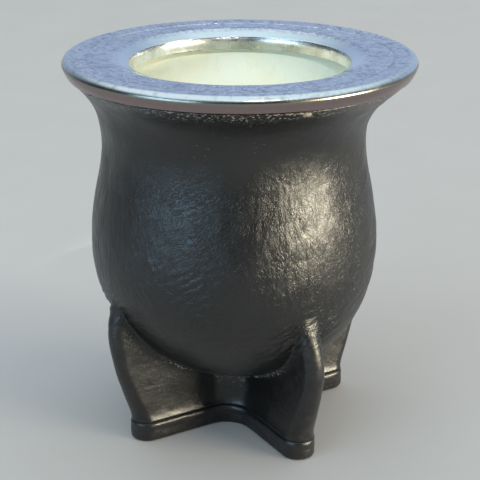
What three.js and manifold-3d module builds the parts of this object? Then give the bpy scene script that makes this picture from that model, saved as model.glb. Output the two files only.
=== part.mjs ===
// Mate cup: a dried gourd in a sewn leather cover that is pinched into four legs, with a flat metal collar.
// Millimetres, +Z up. The origin is the middle of the sole's flat underside, and the legs lie on the diagonals.
import * as THREE from 'three';
import { mergeVertices } from 'three/addons/utils/BufferGeometryUtils.js';
import Module from 'manifold-3d';

const wasm = await Module();
wasm.setup();

// Heights, stacked from the floor up
const SOLE_THICKNESS = 6;
const SEAT_HEIGHT = 9.2; // from the sole to the leather under the gourd
const BOWL_DEPTH = 39.4; // from there to the widest line of the belly
const SHOULDER_HEIGHT = 30.2; // from the belly to the narrowest line of the neck
const NECK_HEIGHT = 22.7; // from the neck to the top of the collar

// Metal collar
const MOUTH_RADIUS = 30;
const COLLAR_WIDTH = 17.9; // from the throat's inner face to the widest line of the rim
const SHEET = 0.8;
const LIP_REACH = 4.8; // the plate's inner edge rolls over this width
const LIP_DROP = 1.7; // and goes down by this much
const THROAT_INSERT = 1; // how far the throat goes down into the gourd
const RIM_BAND_HEIGHT = 4.5;
const RIM_BAND_FOLD = 2; // how far the band folds in over the top
const RIM_CREST_DROP = 1.8; // from the rim's top to its widest line
const RIM_BAND_TAPER = 1.3; // from the widest line in to the lower edge
const PLATE_SINK = 0.3; // the plate lies this far below the rim's top

// Gourd and leather
const GOURD_WALL = 5;
const LEATHER = 2.2;
const NECK_WAIST = 2.36; // the bore narrows by this much at the neck
const BELLY_BULGE = 4; // the belly stands this far outside the neck
const LEAN = 1.76; // the gourd's middle leans this far off the axis
const LEAN_ANGLE = 193.8; // degrees from +X
const LEAN_HOLD = 4; // it keeps that lean to this far above the neck

// Legs and sole
const FOOT_REACH = 34.9;
const LEG_SWELL = 8; // how far the handles of a leg's outline stand out from the foot and the belly
const LEG_TOP_DROP = 7.6; // from the belly's widest line to where the legs end
const LEG_CORE_FOOT = 3; // thickness of the wedge in a leg, at the sole
const LEG_CORE_TIP = 0.8; // and at its upper end
const LEG_CORE_HEIGHT = 18;
const LEG_FILLET = 5; // the legs run into the body over this width
const BLOCK_RADIUS = 6.4;
const SOLE_LIP = 0.8;
const SOLE_LOWER_ROUND = 1;
const SOLE_UPPER_ROUND = 0.6;

// Back seam
const THREAD_DIAMETER = 1;
const STITCH_PITCH = 4.5;
const SEAM_HALF_WIDTH = 2.2;
const SEAM_MARGIN = 6; // left free at the seam's upper and lower end

// Clearances
const FIT = 0.3;
const SOLDER = 0.1;

// How soon the body's curves bend away, as shares of their own stretch
const BELLY_EASE = 0.41;
const NECK_EASE = 0.3;
const FLARE_EASE = 0.55;
const FLARE_RETURN = new THREE.Vector2(0.45, 0.26);

// Facets
const SEGMENTS = 40; // round the axis
const ROUND_STEPS = 4; // along a rounded edge
const BOWL_STEPS = 10;
const SHOULDER_STEPS = 5;
const FLARE_STEPS = 6;
const BORE_STEPS = 4;
const LEG_STEPS = 4;
const HALF_CROSS_STEPS = 8; // from the middle of a leg to the middle of the next gap
const CROSS_CROWDING = 1.6; // how much closer together they are on the leg
const STITCH_STEPS = 3;
const THREAD_SIDES = 6;

const LEG_NAMES = ['back_right', 'back_left', 'front_left', 'front_right'];
const LEG_COUNT = LEG_NAMES.length;
const BACK = Math.PI / 2;

// Places that follow from the sizes
const BODY_BOTTOM_Z = SOLE_THICKNESS + SEAT_HEIGHT;
const BELLY_Z = BODY_BOTTOM_Z + BOWL_DEPTH;
const NECK_Z = BELLY_Z + SHOULDER_HEIGHT;
const RIM_Z = NECK_Z + NECK_HEIGHT;
const RIM_RADIUS = MOUTH_RADIUS + COLLAR_WIDTH;
const BORE_RADIUS = MOUTH_RADIUS + SHEET + FIT;
const NECK_RADIUS = BORE_RADIUS - NECK_WAIST + GOURD_WALL + FIT + LEATHER;
const BELLY_RADIUS = NECK_RADIUS + BELLY_BULGE;
const BAND_EDGE_RADIUS = RIM_RADIUS - RIM_BAND_TAPER;
const BAND_EDGE_Z = RIM_Z - RIM_BAND_HEIGHT;
const THROAT_TOP_DROP = PLATE_SINK + LIP_DROP + SOLDER;
const BODY_TOP_Z = BAND_EDGE_Z - FIT; // gourd and leather are cut off level here
const THROAT_BOTTOM_Z = BODY_TOP_Z - THROAT_INSERT;
const BEDDING_TOP_DROP = PLATE_SINK + SHEET + FIT;
const COVER_BOTTOM_Z = SOLE_THICKNESS + FIT;
const HUB_RADIUS = BLOCK_RADIUS + FIT + LEATHER;
const LEG_TOP_Z = BELLY_Z - LEG_TOP_DROP;

const at = (radius, z) => new THREE.Vector2(radius, z);

// Solids

function bare(geometry) {
  geometry.deleteAttribute('normal');
  geometry.deleteAttribute('uv');
  return mergeVertices(geometry, 1e-4);
}

function meshGeometry(vertices, triangles) {
  const geometry = new THREE.BufferGeometry();
  geometry.setAttribute('position', new THREE.Float32BufferAttribute(vertices, 3));
  geometry.setIndex(triangles);
  return geometry;
}

// Turns a section, listed with its outer side going up, round the +Z axis
function turned(section) {
  return bare(new THREE.LatheGeometry(section, SEGMENTS).rotateX(Math.PI / 2));
}

function turnedRing(section) {
  return turned([...section, section[0].clone()]);
}

// Skins rings of points, listed from the lowest up, and closes both ends with a fan
function skinned(rings) {
  const count = rings[0].length;
  const middle = (ring) => ring.reduce((sum, p) => sum.add(p), new THREE.Vector3()).divideScalar(count);
  const points = [...rings.flat(), middle(rings[0]), middle(rings.at(-1))];
  const bottom = points.length - 2;
  const top = points.length - 1;
  const last = (rings.length - 1) * count;
  const triangles = [];
  for (let j = 0; j < count; j++) {
    const next = (j + 1) % count;
    triangles.push(bottom, next, j, top, last + j, last + next);
    for (let row = 0; row < last; row += count) {
      triangles.push(row + j, row + next, row + count + next);
      triangles.push(row + j, row + count + next, row + count + j);
    }
  }
  return meshGeometry(points.flatMap((p) => p.toArray()), triangles);
}

function toSolid(geometry) {
  const vertProperties = new Float32Array(geometry.attributes.position.array);
  const triVerts = new Uint32Array(geometry.index.array);
  return new wasm.Manifold(new wasm.Mesh({ numProp: 3, vertProperties, triVerts }));
}

function cut(geometry, cutters) {
  const solid = cutters.reduce((rest, cutter) => rest.subtract(toSolid(cutter)), toSolid(geometry));
  const mesh = solid.getMesh();
  return meshGeometry(Array.from(mesh.vertProperties), Array.from(mesh.triVerts));
}

// Body

// The section of the leather's outer face, from the middle of the underside up to the collar
const flareEnd = at(BAND_EDGE_RADIUS - FIT, BAND_EDGE_Z);
const flareSpan = flareEnd.clone().sub(at(NECK_RADIUS, NECK_Z));
const flareHandle = flareEnd.clone().sub(flareSpan.clone().multiply(FLARE_RETURN));
const BODY_CURVES = [
  [new THREE.EllipseCurve(0, BELLY_Z, BELLY_RADIUS, BOWL_DEPTH, -Math.PI / 2, 0), BOWL_STEPS],
  [new THREE.CubicBezierCurve(
    at(BELLY_RADIUS, BELLY_Z),
    at(BELLY_RADIUS, BELLY_Z + BELLY_EASE * SHOULDER_HEIGHT),
    at(NECK_RADIUS, NECK_Z - NECK_EASE * SHOULDER_HEIGHT),
    at(NECK_RADIUS, NECK_Z),
  ), SHOULDER_STEPS],
  [new THREE.CubicBezierCurve(
    at(NECK_RADIUS, NECK_Z),
    at(NECK_RADIUS, NECK_Z + FLARE_EASE * flareSpan.y),
    flareHandle,
    flareEnd,
  ), FLARE_STEPS],
];

// The same section at a depth below the leather's outer face, cut level at a height
function bodySection(depth, top) {
  const points = [];
  for (const [curve, steps] of BODY_CURVES) {
    for (let i = points.length ? 1 : 0; i <= steps; i++) {
      const along = curve.getTangent(i / steps);
      const outward = at(along.y, -along.x);
      points.push(curve.getPoint(i / steps).addScaledVector(outward, -depth));
    }
  }
  points[0].x = 0;
  const above = points.findIndex((p) => p.y > top);
  const below = points[above - 1];
  const share = (top - below.y) / (points[above].y - below.y);
  return [...points.slice(0, above), below.clone().lerp(points[above], share)];
}

// A gourd grows a little crooked: its middle stands off the axis, and its ends come back to it
function leaned(geometry) {
  const step = THREE.MathUtils.smoothstep;
  const direction = THREE.MathUtils.degToRad(LEAN_ANGLE);
  const rise = [COVER_BOTTOM_Z + LEG_CORE_HEIGHT, LEG_TOP_Z];
  const fall = [NECK_Z + LEAN_HOLD, BAND_EDGE_Z];
  const position = geometry.attributes.position;
  for (let i = 0; i < position.count; i++) {
    const z = position.getZ(i);
    const shift = LEAN * step(z, ...rise) * (1 - step(z, ...fall));
    position.setX(i, position.getX(i) + shift * Math.cos(direction));
    position.setY(i, position.getY(i) + shift * Math.sin(direction));
  }
  return geometry;
}

// Legs

// Reach of a leg at a height: from the foot out over the swell, and then into the belly
const legCurve = new THREE.CubicBezierCurve(
  at(FOOT_REACH, SOLE_THICKNESS),
  at(FOOT_REACH + LEG_SWELL, (SOLE_THICKNESS + LEG_TOP_Z) / 2),
  at(BELLY_RADIUS + LEG_SWELL, LEG_TOP_Z),
  at(BELLY_RADIUS / 2, LEG_TOP_Z),
);
const legOutline = legCurve.getPoints(8 * LEG_STEPS);

function legReach(z) {
  const above = legOutline.findIndex((p) => p.y >= z);
  if (above < 1) {
    return above === 0 ? FOOT_REACH : 0;
  }
  const [low, high] = [legOutline[above - 1], legOutline[above]];
  return THREE.MathUtils.mapLinear(z, low.y, high.y, low.x, high.x);
}

function coreHalfWidth(z) {
  const share = THREE.MathUtils.clamp((z - COVER_BOTTOM_Z) / LEG_CORE_HEIGHT, 0, 1);
  return THREE.MathUtils.lerp(LEG_CORE_FOOT, LEG_CORE_TIP, share) / 2;
}

const legHalfWidth = (z) => coreHalfWidth(z) + FIT + LEATHER;

function softMax(a, b, width) {
  const nearness = Math.max(width - Math.abs(a - b), 0) / width;
  return Math.max(a, b) + nearness * nearness * width / 4;
}

// Distance from the axis to a cross with round-ended arms and a round hub, at an angle off an arm
function crossRadius(offset, reach, halfWidth, hub) {
  const centre = reach - halfWidth;
  if (centre <= 0) {
    return hub;
  }
  const angle = Math.abs(offset);
  const onSide = angle > Math.atan2(halfWidth, centre);
  const sideways = centre * Math.sin(angle);
  const arm = onSide
    ? halfWidth / Math.sin(angle)
    : centre * Math.cos(angle) + Math.sqrt(halfWidth ** 2 - sideways ** 2);
  return softMax(arm, hub, LEG_FILLET);
}

const legTurn = (leg) => (leg + 0.5) * 2 * Math.PI / LEG_COUNT;

// Directions round the axis, closer together on the legs: each is the angle and its offset from a leg
const directions = [];
for (let leg = 0; leg < LEG_COUNT; leg++) {
  for (let k = -HALF_CROSS_STEPS; k < HALF_CROSS_STEPS; k++) {
    const share = Math.sign(k) * Math.abs(k / HALF_CROSS_STEPS) ** CROSS_CROWDING;
    const offset = share * Math.PI / LEG_COUNT;
    directions.push({ angle: legTurn(leg) + offset, offset });
  }
}

function crossRing(z, reach, halfWidth, hub) {
  return directions.map(({ angle, offset }) => {
    const radius = crossRadius(offset, reach, halfWidth, hub);
    return new THREE.Vector3(radius * Math.cos(angle), radius * Math.sin(angle), z);
  });
}

// A wedge along +X that thins out as it rises, with a round nose under the leg's outline
function legWedge(inner, bottom, clearance) {
  const rings = [];
  const top = COVER_BOTTOM_Z + LEG_CORE_HEIGHT + clearance;
  for (let level = 0; level <= LEG_STEPS; level++) {
    const z = THREE.MathUtils.lerp(bottom, top, level / LEG_STEPS);
    const half = coreHalfWidth(z) + clearance;
    const centre = legReach(z) - LEATHER - FIT + clearance - half;
    const ring = [new THREE.Vector3(inner, half, z), new THREE.Vector3(inner, -half, z)];
    for (let k = 0; k <= ROUND_STEPS; k++) {
      const angle = (k / ROUND_STEPS - 0.5) * Math.PI;
      ring.push(new THREE.Vector3(centre + half * Math.cos(angle), half * Math.sin(angle), z));
    }
    rings.push(ring);
  }
  return skinned(rings);
}

// Everything inside the leather, down to the underside of the gourd, as one solid
function pocket() {
  const section = bodySection(LEATHER, BAND_EDGE_Z);
  return turned([...section, at(0, BAND_EDGE_Z)]);
}

// Pieces

function gourdShell() {
  const outside = bodySection(LEATHER + FIT, BODY_TOP_Z);
  const bowl = bodySection(LEATHER + FIT + GOURD_WALL, NECK_Z);
  const neck = bowl.at(-1);
  const boreFoot = at(BORE_RADIUS, THROAT_BOTTOM_Z - 2 * FIT);
  const middle = (neck.y + boreFoot.y) / 2;
  const bore = new THREE.CubicBezierCurve(neck, at(neck.x, middle), at(BORE_RADIUS, middle), boreFoot);
  const inside = [...bowl.slice(0, -1), ...bore.getPoints(BORE_STEPS), at(BORE_RADIUS, BODY_TOP_Z)];
  return leaned(turned([...outside, ...inside.reverse()]));
}

function leatherCover() {
  const hubWall = [at(HUB_RADIUS, COVER_BOTTOM_Z), at(HUB_RADIUS, COVER_BOTTOM_Z + SEAT_HEIGHT / 2)];
  const body = bodySection(0, BODY_TOP_Z).filter((p) => p.x > HUB_RADIUS);
  const rings = [...hubWall, ...body].map((p) => crossRing(p.y, legReach(p.y), legHalfWidth(p.y), p.x));
  const hollow = at(BLOCK_RADIUS + FIT, BODY_BOTTOM_Z + 2 * LEATHER);
  const hub = turned([at(0, 0), at(hollow.x, 0), hollow, at(0, hollow.y)]);
  const cutters = [pocket(), hub];
  for (let leg = 0; leg < LEG_COUNT; leg++) {
    cutters.push(legWedge(0, SOLE_THICKNESS, FIT).rotateZ(legTurn(leg)));
  }
  return leaned(cut(skinned(rings), cutters));
}

function legCore() {
  return cut(legWedge(BLOCK_RADIUS + FIT, COVER_BOTTOM_Z, 0), [pocket()]);
}

function baseBlock() {
  const low = COVER_BOTTOM_Z;
  const top = BODY_BOTTOM_Z + LEATHER;
  return turned([at(0, low), at(BLOCK_RADIUS, low), at(BLOCK_RADIUS, top), at(0, top)]);
}

function crossSole() {
  const halfWidth = legHalfWidth(COVER_BOTTOM_Z);
  const ring = (z, margin) => crossRing(z, FOOT_REACH + margin, halfWidth + margin, HUB_RADIUS + margin);
  const lower = [];
  const upper = [];
  for (let k = 0; k <= ROUND_STEPS; k++) {
    const turn = k / ROUND_STEPS * Math.PI / 2;
    const rise = 1 - Math.cos(turn);
    const inset = 1 - Math.sin(turn);
    lower.push(ring(SOLE_LOWER_ROUND * rise, SOLE_LIP - SOLE_LOWER_ROUND * inset));
    upper.unshift(ring(SOLE_THICKNESS - SOLE_UPPER_ROUND * rise, SOLE_LIP - SOLE_UPPER_ROUND * inset));
  }
  return skinned([...lower, ...upper]);
}

// One thread that crosses the seam from side to side, from the collar down to the underside
function seamThread() {
  const radius = THREAD_DIAMETER / 2;
  const line = bodySection(-(FIT + radius), BODY_TOP_Z - SEAM_MARGIN);
  const seam = new THREE.CatmullRomCurve3(line
    .filter((p) => p.y > BODY_BOTTOM_Z + SEAM_MARGIN)
    .map((p) => new THREE.Vector3(p.x, 0, p.y)));
  const stitches = Math.round(seam.getLength() / STITCH_PITCH);
  const crossings = [];
  for (let i = 0; i <= stitches; i++) {
    const place = seam.getPointAt(i / stitches);
    const side = i % 2 ? SEAM_HALF_WIDTH : -SEAM_HALF_WIDTH;
    const angle = BACK + side / place.x;
    crossings.push(new THREE.Vector3(place.x * Math.cos(angle), place.x * Math.sin(angle), place.z));
  }
  const section = new THREE.Shape(new THREE.EllipseCurve(0, 0, radius, radius).getPoints(THREAD_SIDES).slice(1));
  const path = new THREE.CatmullRomCurve3(crossings);
  return leaned(bare(new THREE.ExtrudeGeometry(section, { steps: STITCH_STEPS * stitches, extrudePath: path })));
}

// The collar's pieces are drawn from the top of the rim down

// The rolled inner edge of the plate, from the flat down to the throat, at a depth below its upper face
function lipRoll(depth) {
  const reach = LIP_REACH - depth;
  const drop = LIP_DROP - depth;
  const middle = at(MOUTH_RADIUS + LIP_REACH, -PLATE_SINK - LIP_DROP);
  return new THREE.EllipseCurve(middle.x, middle.y, reach, drop, Math.PI / 2, Math.PI).getPoints(ROUND_STEPS);
}

function collarTopPlate() {
  const outer = RIM_RADIUS - RIM_BAND_FOLD - SOLDER;
  return turnedRing([
    at(outer, -PLATE_SINK - SHEET),
    at(outer, -PLATE_SINK),
    ...lipRoll(0),
    ...lipRoll(SHEET).reverse(),
  ]);
}

function collarRimBand() {
  const inner = RIM_RADIUS - RIM_BAND_FOLD;
  const quarter = Math.PI / 2;
  const crest = new THREE.EllipseCurve(inner, -RIM_CREST_DROP, RIM_BAND_FOLD, RIM_CREST_DROP, 0, quarter);
  const fold = [RIM_BAND_FOLD - SHEET, RIM_CREST_DROP - SHEET];
  const hollow = new THREE.EllipseCurve(inner, -RIM_CREST_DROP, ...fold, quarter, 0, true);
  return turnedRing([
    at(BAND_EDGE_RADIUS - SHEET, -RIM_BAND_HEIGHT),
    at(BAND_EDGE_RADIUS, -RIM_BAND_HEIGHT),
    ...crest.getPoints(ROUND_STEPS),
    ...hollow.getPoints(ROUND_STEPS),
  ]);
}

function collarThroat() {
  const outer = MOUTH_RADIUS + SHEET;
  const top = -THROAT_TOP_DROP;
  const low = THROAT_BOTTOM_Z - RIM_Z;
  return turnedRing([at(outer, low), at(outer, top), at(MOUTH_RADIUS, top), at(MOUTH_RADIUS, low)]);
}

function collarBedding() {
  const outer = BAND_EDGE_RADIUS - SHEET - FIT;
  const low = -RIM_BAND_HEIGHT;
  return turnedRing([
    at(outer, low),
    at(outer, -BEDDING_TOP_DROP),
    ...lipRoll(SHEET + FIT),
    at(BORE_RADIUS, low),
  ]);
}

// Finishes

const finish = (color, roughness, metalness) => new THREE.MeshStandardMaterial({ color, roughness, metalness });
const blackLeather = finish(0x17161a, 0.45, 0);
const rawLeather = finish(0x7a5638, 0.8, 0);
const driedGourd = finish(0xd8cfa4, 0.7, 0);
const nickelSilver = finish(0xb9c0cc, 0.25, 1);
const resin = finish(0xcfc6a8, 0.6, 0);
const waxedThread = finish(0x2a2724, 0.7, 0);

function piece(name, geometry, material) {
  geometry.computeVertexNormals();
  const mesh = new THREE.Mesh(geometry, material);
  mesh.name = name;
  return mesh;
}

// Assembly

const collar = new THREE.Group();
collar.position.z = RIM_Z;
collar.add(
  piece('collar_top_plate', collarTopPlate(), nickelSilver),
  piece('collar_rim_band', collarRimBand(), nickelSilver),
  piece('collar_throat', collarThroat(), nickelSilver),
  piece('collar_bedding', collarBedding(), resin),
);

const base = new THREE.Group();
base.add(
  piece('cross_sole', crossSole(), blackLeather),
  piece('base_block', baseBlock(), rawLeather),
);
LEG_NAMES.forEach((side, leg) => {
  const core = piece(`leg_core_${side}`, legCore(), rawLeather);
  core.rotation.z = legTurn(leg);
  base.add(core);
});

const mateCup = new THREE.Group();
mateCup.add(
  base,
  piece('gourd_shell', gourdShell(), driedGourd),
  piece('leather_cover', leatherCover(), blackLeather),
  piece('seam_thread', seamThread(), waxedThread),
  collar,
);

export default mateCup;
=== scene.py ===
# Mate cup, dressed for rendering: grained leather, sewn seam, scuffed metal collar and dried gourd.
import math

import bpy
import numpy as np
from mathutils import Euler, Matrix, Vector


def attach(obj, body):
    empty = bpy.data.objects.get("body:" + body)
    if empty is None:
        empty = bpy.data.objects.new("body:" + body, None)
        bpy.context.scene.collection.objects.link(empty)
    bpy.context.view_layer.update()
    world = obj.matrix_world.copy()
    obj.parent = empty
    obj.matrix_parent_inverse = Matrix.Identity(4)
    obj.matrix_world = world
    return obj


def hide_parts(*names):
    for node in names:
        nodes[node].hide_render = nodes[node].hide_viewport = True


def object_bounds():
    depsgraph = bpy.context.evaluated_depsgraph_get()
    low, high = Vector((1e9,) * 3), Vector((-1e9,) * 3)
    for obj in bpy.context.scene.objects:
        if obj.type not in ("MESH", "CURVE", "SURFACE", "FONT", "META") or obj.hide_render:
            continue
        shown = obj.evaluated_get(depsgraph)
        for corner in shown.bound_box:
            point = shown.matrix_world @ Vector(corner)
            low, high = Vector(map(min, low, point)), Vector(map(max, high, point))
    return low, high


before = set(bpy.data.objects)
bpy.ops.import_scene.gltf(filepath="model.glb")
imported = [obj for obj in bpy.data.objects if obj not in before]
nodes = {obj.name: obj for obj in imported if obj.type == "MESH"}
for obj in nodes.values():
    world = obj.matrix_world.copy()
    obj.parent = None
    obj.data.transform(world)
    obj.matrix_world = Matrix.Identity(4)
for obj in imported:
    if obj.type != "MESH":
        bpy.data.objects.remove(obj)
cad_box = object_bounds()

MM = 0.001
PHOTO_SIZE = 480
NEAR = 0.01
rng = np.random.default_rng(11)

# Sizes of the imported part, in millimetres


def node_reach(name):
    """Distance from the axis, and height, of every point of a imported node."""
    points = np.array([v.co for v in nodes[name].data.vertices]) / MM
    return np.hypot(points[:, 0], points[:, 1]), points[:, 2]


band_radii, band_heights = node_reach("collar_rim_band")
plate_radii, plate_heights = node_reach("collar_top_plate")
throat_radii, throat_heights = node_reach("collar_throat")
cover_heights = node_reach("leather_cover")[1]
sole_radii, sole_heights = node_reach("cross_sole")

RIM_RADIUS = band_radii.max()
RIM_Z = band_heights.max()
CREST_Z = band_heights[band_radii.argmax()]
FOLD_RADIUS = band_radii[band_heights > RIM_Z - NEAR].min()
BAND_EDGE_Z = band_heights.min()
BAND_EDGE_RADIUS = band_radii[band_heights < BAND_EDGE_Z + NEAR].max()
PLATE_RADIUS = plate_radii.max()
PLATE_Z = plate_heights.max()
LIP_RADIUS = plate_radii[plate_heights > PLATE_Z - NEAR].min()
LIP_Z = plate_heights.min()
MOUTH_RADIUS = throat_radii.min()
SHEET = throat_radii.max() - MOUTH_RADIUS
THROAT_TOP_Z = throat_heights.max()
THROAT_BOTTOM_Z = throat_heights.min()
COVER_BOTTOM_Z = cover_heights.min()
BODY_TOP_Z = cover_heights.max()
SOLE_TOP_Z = sole_heights.max()
FIT = COVER_BOTTOM_Z - SOLE_TOP_Z

# Walls, and the shape of the leather's outer face: an ellipse below the belly, and two curves above it
LEATHER = 2.2
GOURD_WALL = 5.0
BELLY_Z = 54.6
BOWL_DEPTH = 39.4
BELLY_RADIUS = 40.24
NECK_Z = 84.8
NECK_RADIUS = 36.24
FLARE_RADIUS = BAND_EDGE_RADIUS - FIT

# Legs: reach, thickness, the round hub between them, and how they run into the body
HUB_RADIUS = 8.9
SOLE_LIP = 0.8
FOOT_REACH = sole_radii.max() - SOLE_LIP
LEG_SWELL = 8.0
LEG_TOP_Z = 47.0
LEG_CORE_HEIGHT = 18.0
LEG_HALF_FOOT = 4.0
LEG_HALF_TOP = 2.9
LEG_FILLET = 5.0
LEG_COUNT = 4
QUARTER = 2 * math.pi / LEG_COUNT

# The gourd's middle stands a little off the axis
LEAN = 1.76
LEAN_TURN = math.radians(193.8)
LEAN_HOLD = 4.0

# Back seam
BACK = math.pi / 2
STITCH_PITCH = 4.5
SEAM_HALF_WIDTH = 2.2
SEAM_MARGIN = 6.0
THREAD_RADIUS = 0.5


# Noise and curves

HASH = rng.random(8192)
HASH_STEPS = (7919, 104729, 1299709)
NOISE_GAIN = 1.5
CREASE_SHARPNESS = 0.7
CREASE_LEVEL = 0.45


def noise(x, y, seed):
    """Smooth noise between about -1 and 1, with one feature to a unit."""
    column = np.floor(x).astype(np.int64)
    row = np.floor(y).astype(np.int64)
    across = x - column
    along = y - row

    def corner(step_x, step_y):
        place = (column + step_x) * HASH_STEPS[0] + (row + step_y) * HASH_STEPS[1] + seed * HASH_STEPS[2]
        turn = HASH[place % len(HASH)] * 2 * math.pi
        return np.cos(turn) * (across - step_x) + np.sin(turn) * (along - step_y)

    def eased(t):
        return t * t * t * (t * (t * 6 - 15) + 10)

    low = corner(0, 0) + eased(across) * (corner(1, 0) - corner(0, 0))
    high = corner(0, 1) + eased(across) * (corner(1, 1) - corner(0, 1))
    return NOISE_GAIN * (low + eased(along) * (high - low))


def hide_noise(u, v, size, seed):
    """Noise on a leather face, with features of a width and height in millimetres."""
    return noise(u / size[0], v / size[1], seed)


def ring_noise(turn, drift, waves, start, seed):
    """Noise that meets itself round the axis, and changes as the drift grows."""
    return noise(waves * np.cos(turn) + start + drift, waves * np.sin(turn) + start, seed)


def creases(x, y, angle, length, width, seed):
    """Narrow valleys between rounded folds, which run at an angle to the x axis."""
    turn = math.radians(angle)
    along = x * math.cos(turn) + y * math.sin(turn)
    across = y * math.cos(turn) - x * math.sin(turn)
    return np.abs(noise(along / length, across / width, seed)) ** CREASE_SHARPNESS - CREASE_LEVEL


def smoothstep(value, low, high):
    t = np.clip((value - low) / (high - low), 0, 1)
    return t * t * (3 - 2 * t)


def bell(value, middle, width):
    return np.exp(-((value - middle) / width) ** 2)


def bezier(points, count):
    a, b, c, d = [np.array(p, float) for p in points]
    t = np.linspace(0, 1, count)[:, None]
    return a * (1 - t) ** 3 + 3 * b * t * (1 - t) ** 2 + 3 * c * t * t * (1 - t) + d * t ** 3


def arc(centre, radii, start, end, count):
    turn = np.radians(np.linspace(start, end, count))
    return np.c_[centre[0] + radii[0] * np.cos(turn), centre[1] + radii[1] * np.sin(turn)]


def lengths(points):
    """How far along a line each of its points lies."""
    return np.r_[0, np.cumsum(np.linalg.norm(np.diff(points, axis=0), axis=1))]


def evenly(points, step):
    """The same line with points about a step apart."""
    points = np.asarray(points, float)
    along = lengths(points)
    places = np.linspace(0, along[-1], max(2, int(round(along[-1] / step)) + 1))
    return np.c_[np.interp(places, along, points[:, 0]), np.interp(places, along, points[:, 1])]


def leaned(points):
    z = points[..., 2]
    rise = smoothstep(z, COVER_BOTTOM_Z + LEG_CORE_HEIGHT, LEG_TOP_Z)
    fall = smoothstep(z, NECK_Z + LEAN_HOLD, BAND_EDGE_Z)
    shift = LEAN * rise * (1 - fall)
    points = points.copy()
    points[..., 0] += shift * math.cos(LEAN_TURN)
    points[..., 1] += shift * math.sin(LEAN_TURN)
    return points


# Meshes


def mesh_object(name, vertices, faces, uv=None, smooth=True):
    mesh = bpy.data.meshes.new(name)
    mesh.from_pydata((np.asarray(vertices) * MM).tolist(), [], faces)
    mesh.polygons.foreach_set("use_smooth", [smooth] * len(mesh.polygons))
    if uv is not None:
        layer = mesh.uv_layers.new(name="hide")
        loops = np.zeros(len(mesh.loops), np.int32)
        mesh.loops.foreach_get("vertex_index", loops)
        layer.data.foreach_set("uv", np.asarray(uv, np.float32)[loops].ravel())
    mesh.update()
    piece = bpy.data.objects.new(name, mesh)
    bpy.context.scene.collection.objects.link(piece)
    return piece


def grid_faces(rows, columns):
    """Faces between rings of points, each ring closed on itself."""
    faces = []
    for row in range(0, (rows - 1) * columns, columns):
        for j in range(columns):
            k = (j + 1) % columns
            faces.append((row + j, row + k, row + columns + k, row + columns + j))
    return faces


def fan(middle, start, columns, upward):
    """Closes a ring of points with triangles to a middle point."""
    faces = []
    for j in range(columns):
        k = (j + 1) % columns
        faces.append((middle, start + j, start + k) if upward else (middle, start + k, start + j))
    return faces


def grid_normals(grid):
    around = np.roll(grid, -1, axis=1) - np.roll(grid, 1, axis=1)
    up = np.gradient(grid, axis=0)
    normal = np.cross(around, up)
    return normal / np.maximum(np.linalg.norm(normal, axis=2, keepdims=True), 1e-9)


def paint(piece, name, values):
    """Keeps one number per point for the materials."""
    values = np.ravel(values)
    full = np.zeros(len(piece.data.vertices), np.float32)
    full[:len(values)] = values
    attribute = piece.data.attributes.new(name, "FLOAT", "POINT")
    attribute.data.foreach_set("value", full)


def dress(piece, material, slot, *replaced):
    piece.data.materials.clear()
    piece.data.materials.append(material)
    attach(piece, "root")
    if replaced:
        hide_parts(*replaced)
    return piece


# Body section and cross-shaped rings

BOWL_POINTS = 200
CURVE_POINTS = 80
LEG_POINTS = 400
OUTLINE_POINTS = 600
NOSE_CROWDING = 1.5

# How far the handles of the two upper curves reach, as shares of each curve's height or size
SHOULDER_LOW_PULL = 0.41
SHOULDER_HIGH_PULL = 0.3
NECK_PULL = 0.55
FLARE_PULL = (0.45, 0.26)


def body_line():
    """The section of the leather's outer face, from the middle of the underside up to the collar."""
    bowl = arc((0, BELLY_Z), (BELLY_RADIUS, BOWL_DEPTH), -90, 0, BOWL_POINTS)
    flare = np.array([FLARE_RADIUS - NECK_RADIUS, BAND_EDGE_Z - NECK_Z])
    end = np.array([FLARE_RADIUS, BAND_EDGE_Z])
    shoulder_height = NECK_Z - BELLY_Z
    shoulder = bezier([
        (BELLY_RADIUS, BELLY_Z),
        (BELLY_RADIUS, BELLY_Z + SHOULDER_LOW_PULL * shoulder_height),
        (NECK_RADIUS, NECK_Z - SHOULDER_HIGH_PULL * shoulder_height),
        (NECK_RADIUS, NECK_Z),
    ], CURVE_POINTS)
    neck = bezier([
        (NECK_RADIUS, NECK_Z),
        (NECK_RADIUS, NECK_Z + NECK_PULL * flare[1]),
        end - flare * FLARE_PULL,
        end,
    ], CURVE_POINTS)
    return np.r_[bowl, shoulder[1:], neck[1:]]


def outward(line):
    along = np.gradient(line, axis=0)
    along /= np.linalg.norm(along, axis=1, keepdims=True)
    return np.c_[along[:, 1], -along[:, 0]]


def inset(line, depth):
    inner = line - depth * outward(line)
    inner[0, 0] = 0
    return inner


def cut_level(line, top):
    """The line up to a height, ending exactly there."""
    above = int(np.argmax(line[:, 1] > top))
    share = (top - line[above - 1, 1]) / (line[above, 1] - line[above - 1, 1])
    return np.r_[line[:above], [line[above - 1] + share * (line[above] - line[above - 1])]]


LEG_LINE = bezier([
    (FOOT_REACH, SOLE_TOP_Z),
    (FOOT_REACH + LEG_SWELL, (SOLE_TOP_Z + LEG_TOP_Z) / 2),
    (BELLY_RADIUS + LEG_SWELL, LEG_TOP_Z),
    (BELLY_RADIUS / 2, LEG_TOP_Z),
], LEG_POINTS)


def leg_reach(z):
    return np.interp(z, LEG_LINE[:, 1], LEG_LINE[:, 0], left=FOOT_REACH, right=0)


def leg_half(z):
    share = np.clip((z - COVER_BOTTOM_Z) / LEG_CORE_HEIGHT, 0, 1)
    return LEG_HALF_FOOT + share * (LEG_HALF_TOP - LEG_HALF_FOOT)


def soft_max(a, b, width):
    nearness = np.maximum(width - np.abs(a - b), 0) / width
    return np.maximum(a, b) + nearness ** 2 * width / 4


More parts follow.
